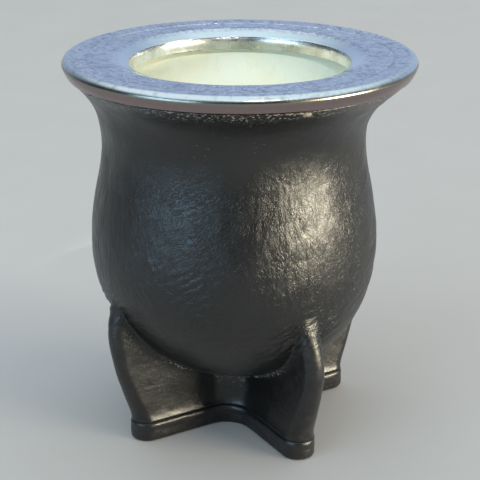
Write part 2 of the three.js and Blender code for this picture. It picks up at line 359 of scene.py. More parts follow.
def cross_radius(offset, reach, half, hub):
    """Distance from the axis to a cross with round-ended arms and a round hub, at an angle off an arm."""
    centre = reach - half
    if centre <= 0:
        return np.full_like(offset, hub)
    on_side = offset > math.atan2(half, centre)
    side = half / np.maximum(np.sin(offset), 1e-6)
    nose = centre * np.cos(offset) + np.sqrt(np.maximum(half ** 2 - (centre * np.sin(offset)) ** 2, 0))
    return soft_max(np.where(on_side, side, nose), hub, LEG_FILLET)


def cross_ring(z, reach, half, hub, steps):
    """One ring of points from the back round to it again, evenly spaced along the outline."""
    offset = np.linspace(0, 1, OUTLINE_POINTS) ** NOSE_CROWDING * QUARTER / 2
    radius = cross_radius(offset, reach, half, hub)
    along = lengths(np.c_[radius * np.cos(offset), radius * np.sin(offset)])
    places = np.linspace(0, along[-1], steps + 1)
    radius = np.interp(places, along, radius)
    offset = np.interp(places, along, offset)
    offsets = np.r_[-offset[:0:-1], offset[:-1]]
    radii = np.r_[radius[:0:-1], radius[:-1]]
    turns = np.concatenate([BACK + (leg + 0.5) * QUARTER + offsets for leg in range(LEG_COUNT)])
    radii = np.tile(radii, LEG_COUNT)
    return np.c_[radii * np.cos(turns), radii * np.sin(turns), np.full(len(turns), z)]


def lathe(section, segments):
    turn = np.arange(segments) / segments * 2 * math.pi
    section = np.asarray(section)
    grid = np.zeros((len(section), segments, 3))
    grid[..., 0] = section[:, None, 0] * np.cos(turn)
    grid[..., 1] = section[:, None, 0] * np.sin(turn)
    grid[..., 2] = section[:, None, 1]
    return grid


# Shader nodes


def add(tree, kind, inputs=None, **settings):
    """A shader node, with its settings and its inputs: a number, a colour or another node's output."""
    made = tree.nodes.new("ShaderNode" + kind)
    for key, value in settings.items():
        setattr(made, key, value)
    for key, value in (inputs or {}).items():
        if isinstance(value, bpy.types.NodeSocket):
            tree.links.new(value, made.inputs[key])
        else:
            made.inputs[key].default_value = value
    return made


def ramp(tree, value, stops):
    made = add(tree, "ValToRGB", {"Fac": value})
    elements = made.color_ramp.elements
    while len(elements) < len(stops):
        elements.new(0.5)
    for element, (place, colour) in zip(elements, stops):
        element.position = place
        element.color = (*colour, 1) if isinstance(colour, tuple) else (colour, colour, colour, 1)
    return made.outputs["Color"]


def mix(tree, factor, a, b):
    made = add(tree, "Mix", data_type="RGBA")
    for key, value in ((0, factor), (6, a), (7, b)):
        if isinstance(value, bpy.types.NodeSocket):
            tree.links.new(value, made.inputs[key])
        else:
            made.inputs[key].default_value = (*value, 1) if isinstance(value, tuple) else value
    return made.outputs[2]


def times(tree, *factors):
    product = factors[0]
    for factor in factors[1:]:
        product = add(tree, "Math", {0: product, 1: factor}, operation="MULTIPLY").outputs[0]
    return product


def plus(tree, *terms):
    total = terms[0]
    for term in terms[1:]:
        total = add(tree, "Math", {0: total, 1: term}, operation="ADD").outputs[0]
    return total


def map_range(tree, value, start, end):
    """Nothing up to the start, rising to one at the end."""
    return add(tree, "MapRange", {"Value": value, "From Min": start, "From Max": end}).outputs[0]


def scaled(tree, vector, scale):
    return add(tree, "Mapping", {"Vector": vector, "Scale": scale}).outputs["Vector"]


def bump(tree, height, strength, distance, under=None):
    inputs = {"Height": height, "Strength": strength, "Distance": distance * MM}
    if under:
        inputs["Normal"] = under
    return add(tree, "Bump", inputs).outputs["Normal"]


def noise_node(tree, vector, scale, detail=4.0, roughness=0.55, distortion=0.0):
    inputs = {"Vector": vector, "Scale": scale, "Detail": detail}
    inputs |= {"Roughness": roughness, "Distortion": distortion}
    return add(tree, "TexNoise", inputs).outputs["Fac"]


def attribute(tree, name):
    return add(tree, "Attribute", attribute_name=name).outputs["Fac"]


def new_material(name):
    material = bpy.data.materials.new(name)
    material.use_nodes = True
    tree = material.node_tree
    return material, tree, tree.nodes["Principled BSDF"]


def position(tree):
    """Place on the object, in millimetres."""
    coordinates = add(tree, "TexCoord").outputs["Object"]
    return scaled(tree, coordinates, (1 / MM,) * 3)


def connect(tree, shader, **sockets):
    for key, value in sockets.items():
        name = key.replace("_", " ")
        if isinstance(value, bpy.types.NodeSocket):
            tree.links.new(value, shader.inputs[name])
        else:
            shader.inputs[name].default_value = value


PATCH_SCALE = 0.09


def spots(tree, place, scale, sizes, thin):
    """Round spots in patches: where a spot's edge starts and ends, and the noise at which patches begin."""
    distance = add(tree, "TexVoronoi", {"Vector": place, "Scale": scale}).outputs["Distance"]
    patches = ramp(tree, noise_node(tree, place, PATCH_SCALE, 3.0), [(thin[0], 0.0), (thin[1], 1.0)])
    return times(tree, ramp(tree, distance, [(sizes[0], 1.0), (sizes[1], 0.0)]), patches)


# Leather

UPRIGHT_ANGLE = 90
SLANTED_ANGLE = 114
LEVEL_ANGLE = 24
SWELL_RISE = 0.35
GRAIN_RISE = 0.09
PEBBLE_RISE = 0.02
PORE_RISE = 0.05
FIBRE_COLOUR = (0.085, 0.075, 0.065)
SMEAR_COLOUR = (0.20, 0.19, 0.17)
SPECK_COLOUR = (0.40, 0.38, 0.35)
DUST_COLOUR = (0.22, 0.22, 0.22)
DUST_SHARE = 0.45


def cells(tree, place, angle, length, width):
    """Long rounded cells with narrow creases between them, running at an angle."""
    inputs = {"Vector": place, "Rotation": (0, 0, math.radians(angle)), "Scale": (length, width, 1)}
    turned = add(tree, "Mapping", inputs, vector_type="TEXTURE").outputs["Vector"]
    inputs = {"Vector": turned, "Scale": 1.0}
    edge = add(tree, "TexVoronoi", inputs, feature="DISTANCE_TO_EDGE").outputs["Distance"]
    return ramp(tree, edge, [(0.0, 0.0), (0.08, 0.60), (0.26, 1.0)])


def warped(tree, place, scale, amount):
    """Places shifted by noise, so that what is drawn there bends."""
    shift = add(tree, "TexNoise", {"Vector": place, "Scale": scale, "Detail": 3.0}).outputs["Color"]
    inputs = {0: shift, 1: (amount, amount, 0.0), 2: place}
    return add(tree, "VectorMath", inputs, operation="MULTIPLY_ADD").outputs[0]


def leather_surface(tree, place):
    """Creased grain in the direction that the leather is drawn, with finer pebbles and pores all over."""
    hide = add(tree, "UVMap", uv_map="hide").outputs["UV"]
    bent = warped(tree, warped(tree, hide, 0.22, 4.5), 0.9, 1.1)
    upright = times(tree, cells(tree, bent, UPRIGHT_ANGLE, 1.7, 0.65), attribute(tree, "upright"), 0.55)
    slanted = times(tree, cells(tree, bent, SLANTED_ANGLE, 2.2, 0.70), attribute(tree, "slanted"), 0.8)
    level = times(tree, cells(tree, bent, LEVEL_ANGLE, 2.8, 0.80), attribute(tree, "level"))
    patchy = ramp(tree, noise_node(tree, place, 0.16, 3.0), [(0.3, 0.35), (0.65, 1.0)])
    grain = times(tree, plus(tree, upright, slanted, level), patchy)
    pebbles = cells(tree, bent, UPRIGHT_ANGLE, 0.50, 0.40)
    pores = noise_node(tree, place, 2.2, 4.0, 0.65)
    surface = bump(tree, noise_node(tree, place, 0.3, 3.0), 0.4, SWELL_RISE)
    surface = bump(tree, grain, 1.0, GRAIN_RISE, surface)
    surface = bump(tree, pebbles, 0.5, PEBBLE_RISE, surface)
    return bump(tree, pores, 0.5, PORE_RISE, surface)


def leather_colour(tree, place, tint):
    """Dyed, with fibres showing where it is rubbed, residue of glue in places, and a little dust."""
    colour = ramp(tree, noise_node(tree, place, 0.05), [(0.3, tint[0]), (0.7, tint[1])])
    frayed = ramp(tree, noise_node(tree, place, 0.35, 5.0), [(0.42, 0.0), (0.7, 1.0)])
    colour = mix(tree, times(tree, attribute(tree, "wear"), frayed), colour, FIBRE_COLOUR)
    residue = attribute(tree, "residue")
    flattened = scaled(tree, place, (1.0, 1.0, 1.6))
    smeared = ramp(tree, noise_node(tree, flattened, 0.8, 5.0, 0.75), [(0.53, 0.0), (0.64, 1.0)])
    colour = mix(tree, times(tree, residue, smeared), colour, SMEAR_COLOUR)
    specks = times(tree, spots(tree, place, 1.0, (0.22, 0.36), (0.32, 0.46)), residue)
    colour = mix(tree, specks, colour, SPECK_COLOUR)
    dust = times(tree, spots(tree, place, 0.55, (0.06, 0.11), (0.45, 0.62)), DUST_SHARE)
    return mix(tree, dust, colour, DUST_COLOUR)


def leather_material(name, tint, gloss, specular):
    material, tree, shader = new_material(name)
    place = position(tree)
    colour = leather_colour(tree, place, tint)
    roughness = ramp(tree, noise_node(tree, place, 0.22, 5.0), [(0.3, gloss[0]), (0.7, gloss[1])])
    surface = leather_surface(tree, place)
    connect(tree, shader, Base_Color=colour, Roughness=roughness, Normal=surface)
    connect(tree, shader, Specular_IOR_Level=specular)
    return material


# Metal

LIP_PAINTED_HIGHLIGHT_WIDTH = 2.6
LIP_PAINTED_HIGHLIGHT_COLOUR = (0.74, 0.82, 0.85)
PLATE_TONES = [(0.60, 0.63, 0.71), (0.68, 0.73, 0.78)]
MOTTLE_COLOUR = (0.28, 0.33, 0.44)
FLECK_COLOUR = (1.0, 1.0, 1.0)
SMUDGE_COLOUR = (0.80, 0.83, 0.92)
SLEEVE_TONES = [(0.66, 0.65, 0.62), (0.94, 0.93, 0.90)]
BAND_STAIN_COLOUR = (0.22, 0.19, 0.175)

# The band's colours are painted reflection and shade: pinkish below, darkest under the rim as painted
# shade, a painted highlight on the crest; each with the share of its height at which it is reached
BAND_PAINTED_REFLECTION_TONES = [
    (0.0, (0.32, 0.24, 0.245)),
    (0.42, (0.26, 0.205, 0.20)),
    (0.66, (0.25, 0.24, 0.20)),
    (0.74, (0.34, 0.34, 0.31)),
    (0.81, (0.72, 0.78, 0.80)),
]
BAND_WAVE = 0.5
FOLD_BLEND_IN = 0.2
FOLD_BLEND_OUT = 0.6


def worked_metal(tree, shader, place, colour, gloss, dents):
    """Metal with fine scratches and shallow dents, duller in places."""
    worn = noise_node(tree, place, 0.28, 6.0, 0.7)
    scratches = noise_node(tree, scaled(tree, place, (0.5, 3.0, 1.0)), 0.9, 4.0, 0.6, 1.5)
    roughness = ramp(tree, worn, [(0.3, gloss[0]), (0.7, gloss[1])])
    surface = bump(tree, scratches, 0.12, 0.04)
    surface = bump(tree, noise_node(tree, place, 0.11, 3.0), dents, 0.25, surface)
    connect(tree, shader, Base_Color=colour, Roughness=roughness, Normal=surface, Metallic=1.0)


def within(tree, place, inner, outer):
    """One inside a distance from the axis and nothing outside another."""
    flat = add(tree, "Mapping", {"Vector": place, "Scale": (1, 1, 0)}).outputs["Vector"]
    reach = add(tree, "VectorMath", {0: flat}, operation="LENGTH").outputs["Value"]
    return map_range(tree, reach, outer, inner)


def plate_colour(tree, place):
    """Blue-grey, mottled darker, with pale flecks and smudges."""
    cloudy = noise_node(tree, place, 0.06, 4.0)
    colour = ramp(tree, cloudy, [(0.3, PLATE_TONES[0]), (0.7, PLATE_TONES[1])])
    mottled = ramp(tree, noise_node(tree, place, 0.5, 6.0, 0.8), [(0.42, 1.0), (0.53, 0.0)])
    colour = mix(tree, times(tree, mottled, 0.85), colour, MOTTLE_COLOUR)
    flecks = spots(tree, place, 0.7, (0.16, 0.36), (0.40, 0.54))
    colour = mix(tree, times(tree, flecks, 0.9), colour, FLECK_COLOUR)
    smudges = ramp(tree, noise_node(tree, place, 0.30, 6.0, 0.75, 0.6), [(0.55, 0.0), (0.68, 0.6)])
    return mix(tree, smudges, colour, SMUDGE_COLOUR)


def plate_material():
    material, tree, shader = new_material("plate_metal")
    place = position(tree)
    # a painted highlight: the lip's ring is painted paler and bluer than the plate
    lip = within(tree, place, LIP_RADIUS - LIP_PAINTED_HIGHLIGHT_WIDTH, LIP_RADIUS)
    colour = mix(tree, lip, plate_colour(tree, place), LIP_PAINTED_HIGHLIGHT_COLOUR)
    worked_metal(tree, shader, place, colour, (0.08, 0.18), 0.12)
    return material


def band_material():
    """Painted reflection down the side, painted shade darkest under the rim, a painted highlight on the
    crest, tarnish in patches, and like the plate inside it.
    """
    material, tree, shader = new_material("band_metal")
    place = position(tree)
    parts = add(tree, "SeparateXYZ", {"Vector": place}).outputs
    wavy = noise_node(tree, place, 0.12, 3.0)
    height = plus(tree, parts["Z"], times(tree, wavy, BAND_WAVE), -BAND_WAVE / 2)
    share = map_range(tree, height, BAND_EDGE_Z, RIM_Z)
    # painted reflection by height: pinkish below, painted shade under the rim, a painted highlight on the
    # crest
    colour = ramp(tree, share, BAND_PAINTED_REFLECTION_TONES)
    stained = ramp(tree, noise_node(tree, place, 0.4, 6.0, 0.7), [(0.5, 0.0), (0.72, 0.5)])
    colour = mix(tree, stained, colour, BAND_STAIN_COLOUR)
    inside = within(tree, place, FOLD_RADIUS - FOLD_BLEND_IN, FOLD_RADIUS + FOLD_BLEND_OUT)
    colour = mix(tree, inside, colour, plate_colour(tree, place))
    worked_metal(tree, shader, place, colour, (0.18, 0.30), 0.25)
    return material


def sleeve_material():
    material, tree, shader = new_material("sleeve_metal")
    place = position(tree)
    cloudy = noise_node(tree, scaled(tree, place, (1.0, 1.0, 0.3)), 0.16, 4.0)
    colour = ramp(tree, cloudy, [(0.34, SLEEVE_TONES[0]), (0.62, SLEEVE_TONES[1])])
    worked_metal(tree, shader, place, colour, (0.22, 0.34), 0.4)
    return material


# Gourd, resin, raw leather and thread

GOURD_TONES = [(0.86, 0.85, 0.66), (0.86, 0.90, 0.76), (0.85, 0.92, 0.83)]
YELLOW_FROM_X = -8.0
YELLOW_TO_X = -30.0
LOW_SHADE_FROM_Z = 88.0
LOW_SHADE_TO_Z = 80.0
LEFT_YELLOW_COLOUR = (0.90, 0.82, 0.55)
PAINTED_LOW_SHADE_COLOUR = (0.74, 0.62, 0.36)
PULP_FIBRE_COLOUR = (0.66, 0.60, 0.40)


def gourd_material():
    material, tree, shader = new_material("dried_gourd")
    place = position(tree)
    parts = add(tree, "SeparateXYZ", {"Vector": place}).outputs
    cloudy = noise_node(tree, place, 0.045, 5.0, 0.6)
    colour = ramp(tree, cloudy, list(zip((0.3, 0.5, 0.7), GOURD_TONES)))
    # yellower in patches towards the left side
    stained = map_range(tree, parts["X"], YELLOW_FROM_X, YELLOW_TO_X)
    blotchy = ramp(tree, noise_node(tree, place, 0.10, 4.0), [(0.35, 0.2), (0.65, 1.0)])
    colour = mix(tree, times(tree, stained, blotchy, 0.4), colour, LEFT_YELLOW_COLOUR)
    # painted shade: darker and browner in patches towards the bottom of the inside
    low = map_range(tree, parts["Z"], LOW_SHADE_FROM_Z, LOW_SHADE_TO_Z)
    colour = mix(tree, times(tree, low, blotchy, 0.35), colour, PAINTED_LOW_SHADE_COLOUR)
    fibre = noise_node(tree, scaled(tree, place, (1.0, 1.0, 0.6)), 0.45, 6.0, 0.6)
    colour = mix(tree, ramp(tree, fibre, [(0.54, 0.0), (0.82, 0.25)]), colour, PULP_FIBRE_COLOUR)
    surface = bump(tree, fibre, 0.35, 0.4)
    surface = bump(tree, noise_node(tree, place, 1.8, 4.0), 0.3, 0.15, surface)
    connect(tree, shader, Base_Color=colour, Roughness=0.7, Normal=surface)
    return material


def grained_material(name, dark, light, scale, rough):
    material, tree, shader = new_material(name)
    place = position(tree)
    grain = noise_node(tree, place, scale, 6.0, 0.65)
    colour = ramp(tree, grain, [(0.3, dark), (0.7, light)])
    connect(tree, shader, Base_Color=colour, Roughness=rough, Normal=bump(tree, grain, 0.5, 0.2))
    return material


COVER_TINT = [(0.0022, 0.0022, 0.0027), (0.0044, 0.0042, 0.0040)]
SOLE_TINT = [(0.0040, 0.0040, 0.0048), (0.0080, 0.0077, 0.0074)]
cover_leather = leather_material("cover_leather", COVER_TINT, (0.28, 0.38), 0.65)
sole_leather = leather_material("sole_leather", SOLE_TINT, (0.27, 0.38), 0.65)
plate_metal = plate_material()
band_metal = band_material()
sleeve_metal = sleeve_material()
dried_gourd = gourd_material()
raw_leather = grained_material("raw_leather", (0.16, 0.09, 0.045), (0.30, 0.18, 0.10), 0.8, 0.85)
resin = grained_material("resin", (0.50, 0.44, 0.28), (0.70, 0.64, 0.46), 0.4, 0.45)
set_glue = grained_material("set_glue", (0.10, 0.09, 0.07), (0.34, 0.30, 0.23), 1.6, 0.5)
waxed_thread = grained_material("waxed_thread", (0.012, 0.011, 0.010), (0.035, 0.030, 0.026), 3.0, 0.5)


# Leather cover

COVER_STEP = 0.45
SECTOR_STEPS = 80
FOOT_GAP = 0.02
FOOT_SPREAD = 0.5
FOOT_SPREAD_HEIGHT = 1.3

# How far outside the body a point has to lie to count as part of a leg, in part and in full
PROUD_FROM = 0.5
PROUD_TO = 4.0

# Groove between the hide's two edges, the swelling beside it, and the dimples where the thread goes through
GROOVE_DEPTH = 0.55
GROOVE_WIDTH = 0.5
WELT_RISE = 0.12
WELT_OFFSET = 1.5
WELT_WIDTH = 0.9
HOLE_RADIUS = 0.55
HOLE_DEPTH = 0.5
SEAM_CALM = (0.4, 5.0)

# Where the hide is creased: heights, and the middle and spread of each zone in degrees off a leg
GRAIN_FADE_IN = (34, 50)
GRAIN_FADE_OUT = (76, 92)
UPRIGHT_ZONE = (-9, 19)
SLANTED_ZONE = (22, 12)
LEVEL_ZONE = (0, 16)
DRAWN_ZONE = (2, 24)
DRAWN_HEIGHTS = (37, 11)
DRAWN_LOSS_ON_LEG = 0.7

# Depth, angle, length and width of the upright, slanted and level folds, and how the level ones deepen
FOLDS = [(0.20, UPRIGHT_ANGLE, 7, 2.0), (0.22, SLANTED_ANGLE, 9, 2.0), (0.30, LEVEL_ANGLE, 10, 1.9)]
FIRST_FOLD_SEED = 6
FOLD_WANDER = 1.2
SIDEWAYS_WANDER_SIZE = (6, 9)
UPWARD_WANDER_SIZE = (9, 6)
FOLD_PATCH_SIZE = (24, 24)
FOLD_PATCH_EDGE = (-0.5, 0.4)
SHALLOW_FOLD = 0.35
GATHER = 2.6
GATHER_HEIGHTS = (36, 9)

# Height, width and length of the lumps that the hide stretches over
LARGE_LUMP = 0.26
LARGE_LUMP_SIZE = (21, 24)
SMALL_LUMP = 0.10
SMALL_LUMP_SIZE = (8, 9)
LUMP_LOSS_ON_LEG = 0.6
UPPER_EDGE_CALM = (0.3, 5.0)

# Wear on the noses of the legs and at the upper edge, and scuffs: angle, height and size of each
NOSE_HALF_ANGLE = 0.16
NOSE_FADE = 0.12
NOSE_WEAR = 0.15
EDGE_WEAR = 0.25
EDGE_WEAR_HEIGHT = 2.0
SCUFFS = [(212, 62, 1.1), (346, 75, 0.9), (287, 74, 0.8)]

# Residue of glue in the crease under the belly and below the collar
CREASE_RESIDUE = 1.5
CREASE_PROUD = (0.25, 0.27)
CREASE_HEIGHTS = (19, 5)
BAND_RESIDUE = 0.7
BAND_RESIDUE_FROM = 3.5
BAND_RESIDUE_TO = 0.5


def seam_holes():
    """Where the thread goes through the leather: how far along the seam, to which side, and its section."""
    line = cut_level(body_line(), BODY_TOP_Z - SEAM_MARGIN)
    line = line[line[:, 1] > BELLY_Z - BOWL_DEPTH + SEAM_MARGIN]
    along = lengths(line)
    stitches = int(round(along[-1] / STITCH_PITCH))
    places = np.linspace(0, along[-1], stitches + 1)
    sides = np.where(np.arange(stitches + 1) % 2, SEAM_HALF_WIDTH, -SEAM_HALF_WIDTH)
    return line, along, places, sides


def seam_relief(across, z):
    """The two edges of the hide meet in a groove at the back, and the stitches draw them down."""
    welts = WELT_RISE * bell(np.abs(across), WELT_OFFSET, WELT_WIDTH)
    relief = welts - GROOVE_DEPTH * bell(across, 0, GROOVE_WIDTH)
    line, along, places, sides = seam_holes()
    for place, side in zip(places, sides):
        height = np.interp(place, along, line[:, 1])
        relief -= HOLE_DEPTH * bell(np.hypot(across - side, z - height), 0, HOLE_RADIUS)
    return relief


def crease_shares(turn, z, proud):
    """How far the leather is creased upright, slanted and level at each point: the same over every leg."""
    off_leg = np.degrees(turn % QUARTER - QUARTER / 2)
    off_gap = np.degrees(QUARTER / 2) - np.abs(off_leg)
    belly = smoothstep(z, *GRAIN_FADE_IN) * (1 - smoothstep(z, *GRAIN_FADE_OUT)) * (1 - proud)
    upright = belly * bell(off_leg, *UPRIGHT_ZONE)
    slanted = belly * bell(off_leg, *SLANTED_ZONE)
    level = belly * bell(off_gap, *LEVEL_ZONE)
    drawn = bell(z, *DRAWN_HEIGHTS) * bell(off_leg, *DRAWN_ZONE) * (1 - DRAWN_LOSS_ON_LEG * proud)
    upright = upright * (1 - drawn)
    return upright, slanted, np.clip(level + drawn, 0, 1)


def cover_relief(u, v, z, turn, radius, proud, shares):
    """How far the leather stands off its plain form."""
    upright, slanted, level = shares
    gathered = level * (1 + GATHER * bell(z, *GATHER_HEIGHTS))
    large = LARGE_LUMP * hide_noise(u, v, LARGE_LUMP_SIZE, seed=1)
    lumps = large + SMALL_LUMP * hide_noise(u, v, SMALL_LUMP_SIZE, seed=2)
    bent_u = u + FOLD_WANDER * hide_noise(u, v, SIDEWAYS_WANDER_SIZE, seed=4)
    bent_v = v + FOLD_WANDER * hide_noise(u, v, UPWARD_WANDER_SIZE, seed=5)
    patches = smoothstep(hide_noise(u, v, FOLD_PATCH_SIZE, seed=3), *FOLD_PATCH_EDGE)
    folds = np.zeros_like(u)
    for i, share in enumerate((upright, slanted, gathered)):
        depth, angle, length, width = FOLDS[i]
        folds += depth * share * creases(bent_u, bent_v, angle, length, width, FIRST_FOLD_SEED + i)
    folds = folds * (SHALLOW_FOLD + (1 - SHALLOW_FOLD) * patches)
    edge = smoothstep(BODY_TOP_Z - z, *UPPER_EDGE_CALM)
    height = (lumps * (1 - LUMP_LOSS_ON_LEG * proud) + folds) * edge
    height += FOOT_SPREAD * np.exp(-(z - COVER_BOTTOM_Z) / FOOT_SPREAD_HEIGHT)
    across = ((turn - BACK + math.pi) % (2 * math.pi) - math.pi) * radius
    return height * smoothstep(np.abs(across), *SEAM_CALM) + seam_relief(across, z)


# How far in, and how far up, each ring of the turned-in upper edge lies
TURN_IN = [(0.5, 0.08), (LEATHER - 0.4, 0.08), (LEATHER, -0.4), (LEATHER + 3.2, -5)]


def turned_in(top):
    """Rings that take the upper edge in over the leather's thickness, and down behind it."""
    inward = -top * (1, 1, 0)
    inward /= np.linalg.norm(inward, axis=1, keepdims=True)
    return np.array([top + inward * depth + (0, 0, rise) for depth, rise in TURN_IN])


def scuff_marks(turn, radius, z):
    """Round marks at each scuff's angle and height, and again on the opposite side of the cup."""
    marks = np.zeros_like(z)
    for angle, height, size in SCUFFS:
        sideways = radius * np.sin(turn - math.radians(angle))
        marks += bell(np.hypot(sideways, z - height), 0, size)
    return marks


def paint_cover(piece, turn, radius, z, proud, shares):
    """Keeps for the material where the leather is creased, worn and marked with glue."""
    for name, values in zip(("upright", "slanted", "level"), shares):
        paint(piece, name, values)
    off_leg = np.abs(turn % QUARTER - QUARTER / 2)
    nose = proud * smoothstep(NOSE_HALF_ANGLE - off_leg, 0.0, NOSE_FADE)
    upper_edge = smoothstep(z, BODY_TOP_Z - EDGE_WEAR_HEIGHT, BODY_TOP_Z)
    paint(piece, "wear", NOSE_WEAR * nose + EDGE_WEAR * upper_edge + scuff_marks(turn, radius, z))
    in_crease = bell(proud, *CREASE_PROUD) * bell(z, *CREASE_HEIGHTS)
    below_band = smoothstep(z, BODY_TOP_Z - BAND_RESIDUE_FROM, BODY_TOP_Z - BAND_RESIDUE_TO)
    paint(piece, "residue", CREASE_RESIDUE * in_crease + BAND_RESIDUE * below_band)


def leather_cover():
    line = cut_level(body_line(), BODY_TOP_Z)
    line = line[line[:, 0] > HUB_RADIUS]
    line = evenly(np.r_[[(HUB_RADIUS, SOLE_TOP_Z + FOOT_GAP)], line], COVER_STEP)
    grid = np.array([cross_ring(z, leg_reach(z), leg_half(z), r, SECTOR_STEPS) for r, z in line])
    rows, columns = grid.shape[:2]
    around = (np.arange(columns) + 0.5) / columns * 2 * math.pi * BELLY_RADIUS
    u, v = np.meshgrid(around, lengths(line))
    z = grid[..., 2]
    radius = np.hypot(grid[..., 0], grid[..., 1])
    turn = np.arctan2(grid[..., 1], grid[..., 0])
    proud = smoothstep(radius - line[:, None, 0], PROUD_FROM, PROUD_TO)
    shares = crease_shares(turn, z, proud)
    height = cover_relief(u, v, z, turn, radius, proud, shares)
    grid = leaned(grid + height[..., None] * grid_normals(grid))

    lip = turned_in(grid[-1])
    vertices = np.r_[np.concatenate([grid, lip]).reshape(-1, 3), [(0, 0, COVER_BOTTOM_Z)]]
    middle = len(vertices) - 1
    faces = grid_faces(rows + len(lip), columns) + fan(middle, 0, columns, False)
    lip_v = v[-1, 0] + np.arange(1, len(lip) + 1)
    u, v = np.meshgrid(around, np.r_[v[:, 0], lip_v])
    piece = mesh_object("cover_hide", vertices, faces, np.r_[np.c_[u.ravel(), v.ravel()], [(0, 0)]])
    paint_cover(piece, turn, radius, z, proud, shares)
    return dress(piece, cover_leather, "cover_leather", "leather_cover")


leather_cover()


# Stitches along the back seam

STITCH_STEPS = 18
THREAD_SIDES = 12
PLY_COUNT = 2
PLY_DEPTH = 0.12
PLY_TURNS = 3
THREAD_RISE = 0.38
THREAD_SINK = 0.7
THREAD_FLATNESS = 6


def seam_stitches():
    line, along, places, sides = seam_holes()
    normals = outward(line)
    angles = np.arange(THREAD_SIDES) / THREAD_SIDES * 2 * math.pi
    t = np.linspace(0, 1, STITCH_STEPS)
    vertices = []
    faces = []
    for i in range(len(places) - 1):
        place = places[i] + t * (places[i + 1] - places[i])
        side = sides[i] + t * (sides[i + 1] - sides[i])
        radius, z = [np.interp(place, along, line[:, k]) for k in (0, 1)]
        out, rise = [np.interp(place, along, normals[:, k]) for k in (0, 1)]
        turn = BACK + side / radius
        normal = np.c_[out * np.cos(turn), out * np.sin(turn), rise]
        lift = THREAD_RISE - (THREAD_RISE + THREAD_SINK) * np.abs(2 * t - 1) ** THREAD_FLATNESS
        path = leaned(np.c_[radius * np.cos(turn), radius * np.sin(turn), z]) + lift[:, None] * normal
        along_path = np.gradient(path, axis=0)
        sideways = np.cross(along_path, normal)
        sideways /= np.linalg.norm(sideways, axis=1, keepdims=True)
        over = np.cross(sideways, along_path)
        over /= np.linalg.norm(over, axis=1, keepdims=True)
        lay = PLY_COUNT * angles[None] - PLY_TURNS * 2 * math.pi * t[:, None]
        reach = THREAD_RADIUS * (1 - PLY_DEPTH * (1 + np.cos(lay)))
        ring = sideways[:, None] * np.cos(angles)[:, None] + over[:, None] * np.sin(angles)[:, None]
        tube = path[:, None] + reach[..., None] * ring
        first = len(vertices)
        vertices += tube.reshape(-1, 3).tolist() + [path[0].tolist(), path[-1].tolist()]
        start = first + STITCH_STEPS * THREAD_SIDES
        faces += [tuple(first + k for k in face) for face in grid_faces(STITCH_STEPS, THREAD_SIDES)]
        faces += fan(start, first, THREAD_SIDES, False)
        faces += fan(start + 1, start - THREAD_SIDES, THREAD_SIDES, True)
    piece = mesh_object("seam_stitches", vertices, faces)
    return dress(piece, waxed_thread, "thread", "seam_thread")


seam_stitches()


# Sole

SOLE_SECTOR_STEPS = 44
SOLE_LOWER_ROUND = 1.0
SOLE_UPPER_ROUND = 1.3
SOLE_LOWER_POINTS = 8
SOLE_UPPER_POINTS = 7
SOLE_INSETS = [3.0, 1.5]
SOLE_WALL_ROWS = 9
SOLE_SIDE_HEIGHT = 2.2
SOLE_WAVE = 0.14
SOLE_WAVE_SIZE = (5, 3)
SOLE_RIPPLE = 0.06
SOLE_RIPPLE_SIZE = (1.6, 1.4)
SOLE_LINE_DEPTH = 0.05
SOLE_LINE_Z = 3.4
SOLE_LINE_WIDTH = 0.25
TREAD_WEAR = 0.35
TREAD_EDGE = (0.1, 1.2)
SIDE_WEAR = 0.06
UNDERSIDE_WEAR = 0.6


def sole_section():
    """Across the sole's edge, from underneath to on top: how far outside the legs, and how high."""
    high_z = SOLE_TOP_Z - SOLE_UPPER_ROUND
    low_centre = (SOLE_LIP - SOLE_LOWER_ROUND, SOLE_LOWER_ROUND)
    high_centre = (SOLE_LIP - SOLE_UPPER_ROUND, high_z)
    lower = arc(low_centre, (SOLE_LOWER_ROUND,) * 2, -90, 0, SOLE_LOWER_POINTS)
    upper = arc(high_centre, (SOLE_UPPER_ROUND,) * 2, 0, 90, SOLE_UPPER_POINTS)
    heights = np.linspace(SOLE_LOWER_ROUND, high_z, SOLE_WALL_ROWS + 2)[1:-1]
    wall = np.c_[np.full(SOLE_WALL_ROWS, SOLE_LIP), heights]
    under = [(-depth, 0.0) for depth in SOLE_INSETS]
    over = [(-depth, SOLE_TOP_Z) for depth in SOLE_INSETS[::-1]]
    return np.r_[under, lower, wall, upper, over]


